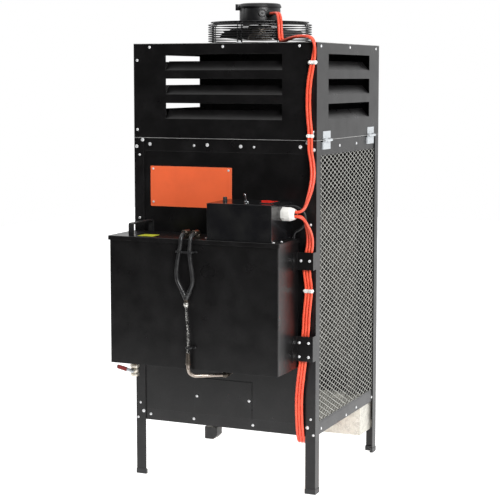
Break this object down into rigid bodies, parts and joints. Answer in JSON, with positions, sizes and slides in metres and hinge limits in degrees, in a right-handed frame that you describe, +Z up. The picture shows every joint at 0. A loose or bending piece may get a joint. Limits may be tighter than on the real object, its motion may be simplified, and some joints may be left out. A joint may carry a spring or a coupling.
{
  "type": "waste oil heater",
  "caption": "Free-standing sheet-metal waste oil heater with a front oil tank, a control box, net side panels, a tilting louvred upper cabinet and a guarded top fan.",
  "frame": {"origin": "on the floor, under the middle of the heater's outline", "axes": "+X to the heater's right as seen from its tank side, +Y from the tank to the rear, +Z up"},
  "size_m": [0.5864, 0.7428, 1.37],
  "materials": {
    "frame_paint": "satin black powder coat",
    "panel_paint": "satin black powder coat",
    "tank_paint": "satin black powder coat",
    "orange_paint": "satin orange",
    "net_paint": "thin grey coat",
    "galvanised": "dull galvanised",
    "zinc": "zinc plated",
    "black_plastic": "matt black",
    "black_rubber": "matt black",
    "hose_rubber": "smooth black",
    "brass": "nickel plated brass",
    "red_plastic": "red",
    "black_gloss": "high gloss black",
    "switch_black": "black",
    "chrome": "polished",
    "red_rocker": "red",
    "white_plastic": "white",
    "cast_metal": "as cast",
    "machined_steel": "turned and plated",
    "motor_black": "black",
    "braid": "woven steel wire",
    "steel_pipe": "plain drawn",
    "red_cable": "silicone sheath",
    "drum_steel": "heat-proof dark grey",
    "fan_paint": "satin black"
  },
  "bodies": {
    "frame": {"corner_legs": "frame_paint", "foot_caps": "black_plastic", "frame_rails": "frame_paint", "front_panel": "panel_paint", "access_cover": "panel_paint", "front_plate": "orange_paint", "rear_panel": "panel_paint", "rear_heat_shield": "drum_steel", "side_meshes": "net_paint", "cabinet_floor": "galvanised", "hinge_lower_leaves": "zinc", "tank_body": "tank_paint", "tank_gasket": "black_rubber", "tank_lid": "tank_paint", "tank_brackets": "tank_paint", "drain_valve": "brass", "control_box": "black_gloss", "switch_bodies": "switch_black", "cable_gland": "white_plastic", "pump_body": "cast_metal", "pump_motor": "motor_black", "hose_fittings": "machined_steel", "black_hoses": "hose_rubber", "braided_hose": "braid", "feed_pipe": "steel_pipe", "hose_clamps": "black_plastic", "cables_down": "red_cable", "cables_up": "red_cable", "cable_ties": "white_plastic", "exchanger_drum": "drum_steel", "drum_lid": "drum_steel", "burner_pot": "cast_metal", "burner_insert": "drum_steel", "flue_stub": "drum_steel", "air_box": "galvanised", "blower_housing": "galvanised", "blower_motor": "motor_black", "overflow_switch": "black_plastic", "lower_screws": "zinc"},
    "upper_cabinet": {"louvre_front": "panel_paint", "left_louvre": "panel_paint", "right_louvre": "panel_paint", "upper_rear_panel": "panel_paint", "top_panel": "panel_paint", "hinge_upper_leaves": "zinc", "fan_guard": "fan_paint", "fan_ring": "fan_paint", "fan_motor": "fan_paint", "upper_screws": "zinc", "cables_top": "red_cable", "upper_ties": "white_plastic"},
    "cover": {"lid_cover": "tank_paint", "cover_grip": "black_plastic"},
    "fan_rotor": {"fan_rotor": "fan_paint"},
    "blower_rotor": {"blower_wheel": "galvanised"},
    "pump_rotor": {"pump_rotor": "machined_steel"},
    "valve_lever": {"drain_lever": "red_plastic"},
    "selector": {"selector_knob": "switch_black"},
    "toggle": {"toggle_lever": "chrome"},
    "rocker": {"main_rocker": "red_rocker"}
  },
  "joints": [
    {"name": "top_tilt", "type": "hinge", "parent": "frame", "child": "upper_cabinet", "pos_m": [0.2892, 0.0614, 0.983], "axis": [0, 1, 0], "range_deg": [0, 95]},
    {"name": "fan_spin", "type": "hinge", "parent": "upper_cabinet", "child": "fan_rotor", "pos_m": [0.0049, 0.0614, 1.262], "axis": [0, 0, 1], "continuous": true},
    {"name": "blower_spin", "type": "hinge", "parent": "frame", "child": "blower_rotor", "pos_m": [0.1949, 0.2534, 0.1], "axis": [0, 0, 1], "continuous": true},
    {"name": "pump_spin", "type": "hinge", "parent": "frame", "child": "pump_rotor", "pos_m": [0.0999, -0.2686, 0.747], "axis": [1, 0, 0], "continuous": true},
    {"name": "drain_turn", "type": "hinge", "parent": "frame", "child": "valve_lever", "pos_m": [-0.2421, -0.2856, 0.323], "axis": [0, -1, 0], "range_deg": [0, 90]},
    {"name": "knob_turn", "type": "hinge", "parent": "frame", "child": "selector", "pos_m": [0.0479, -0.2786, 0.818], "axis": [0, 0, 1], "range_deg": [-135, 135]},
    {"name": "toggle_flip", "type": "hinge", "parent": "frame", "child": "toggle", "pos_m": [0.1119, -0.2786, 0.817], "axis": [0, 1, 0], "range_deg": [0, 24]},
    {"name": "rocker_tilt", "type": "hinge", "parent": "frame", "child": "rocker", "pos_m": [0.1799, -0.2761, 0.818], "axis": [1, 0, 0], "range_deg": [0, 12]},
    {"name": "cover_lift", "type": "slide", "parent": "frame", "child": "cover", "axis": [0, 0, 1], "range_m": [0, 0.08]}
  ]
}
